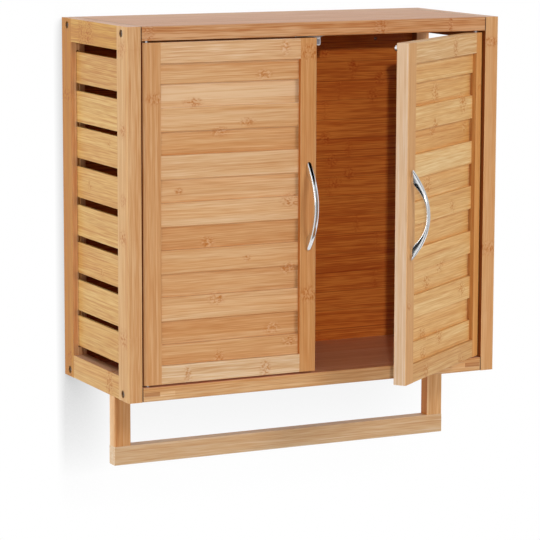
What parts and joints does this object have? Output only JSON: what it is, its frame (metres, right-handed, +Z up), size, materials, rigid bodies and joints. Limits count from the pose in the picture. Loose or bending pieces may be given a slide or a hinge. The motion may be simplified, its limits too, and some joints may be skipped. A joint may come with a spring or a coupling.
{
  "type": "bathroom wall cabinet",
  "caption": "Bamboo wall cabinet with slatted side frames, pivoted panelled doors with bow handles, a magnetic catch and a towel rail beneath.",
  "frame": {"origin": "on the wall face of the cabinet, midway between the wall-screw holes of the hanging rail", "axes": "+Z up, +X to the right seen from the front, the front faces -Y and the wall is on the +Y side"},
  "size_m": [0.561, 0.3924, 0.609],
  "materials": {
    "bamboo_frame": "satin lacquer",
    "bamboo_board": "satin lacquer",
    "bamboo_panel": "satin lacquer",
    "bamboo_back": "satin lacquer",
    "dowel_wood": "raw",
    "chrome": "polished",
    "steel": "zinc plated",
    "magnet": "ferrite",
    "white_plastic": "moulded",
    "bush_plastic": "moulded"
  },
  "bodies": {
    "cabinet": {"assembly_screws": "steel", "back_panel": "bamboo_back", "bottom_panel": "bamboo_panel", "carcass_dowels": "dowel_wood", "catch_housing": "white_plastic", "catch_magnets": "magnet", "catch_pole_plates": "steel", "catch_screws": "steel", "hanging_rail": "bamboo_panel", "left_back_stile": "bamboo_frame", "left_bottom_rail": "bamboo_frame", "left_front_stile": "bamboo_frame", "left_slat_1": "bamboo_board", "left_slat_2": "bamboo_board", "left_slat_3": "bamboo_board", "left_slat_4": "bamboo_board", "left_slat_5": "bamboo_board", "left_slat_6": "bamboo_board", "left_slat_7": "bamboo_board", "left_slat_8": "bamboo_board", "left_top_rail": "bamboo_frame", "pivot_pins": "steel", "right_back_stile": "bamboo_frame", "right_bottom_rail": "bamboo_frame", "right_front_stile": "bamboo_frame", "right_slat_1": "bamboo_board", "right_slat_2": "bamboo_board", "right_slat_3": "bamboo_board", "right_slat_4": "bamboo_board", "right_slat_5": "bamboo_board", "right_slat_6": "bamboo_board", "right_slat_7": "bamboo_board", "right_slat_8": "bamboo_board", "right_top_rail": "bamboo_frame", "top_panel": "bamboo_panel", "towel_bar": "bamboo_frame", "towel_post_left": "bamboo_frame", "towel_post_right": "bamboo_frame"},
    "left_door": {"left_door_bottom_rail": "bamboo_frame", "left_door_dowels": "dowel_wood", "left_door_free_stile": "bamboo_frame", "left_door_handle": "chrome", "left_door_handle_screws": "steel", "left_door_hinge_stile": "bamboo_frame", "left_door_pivot_bushes": "bush_plastic", "left_door_raised_boards": "bamboo_board", "left_door_strike_stud": "steel", "left_door_sunk_boards": "bamboo_board", "left_door_top_rail": "bamboo_frame"},
    "right_door": {"right_door_bottom_rail": "bamboo_frame", "right_door_dowels": "dowel_wood", "right_door_free_stile": "bamboo_frame", "right_door_handle": "chrome", "right_door_handle_screws": "steel", "right_door_hinge_stile": "bamboo_frame", "right_door_pivot_bushes": "bush_plastic", "right_door_raised_boards": "bamboo_board", "right_door_strike_stud": "steel", "right_door_sunk_boards": "bamboo_board", "right_door_top_rail": "bamboo_frame"}
  },
  "joints": [
    {"name": "left_door_hinge", "type": "hinge", "parent": "cabinet", "child": "left_door", "pos_m": [-0.2495, -0.221, -0.20825], "axis": [0, 0, -1], "range_deg": [0, 98]},
    {"name": "right_door_hinge", "type": "hinge", "parent": "cabinet", "child": "right_door", "pos_m": [0.2495, -0.221, -0.20825], "axis": [0, 0, 1], "range_deg": [-37, 61]}
  ]
}
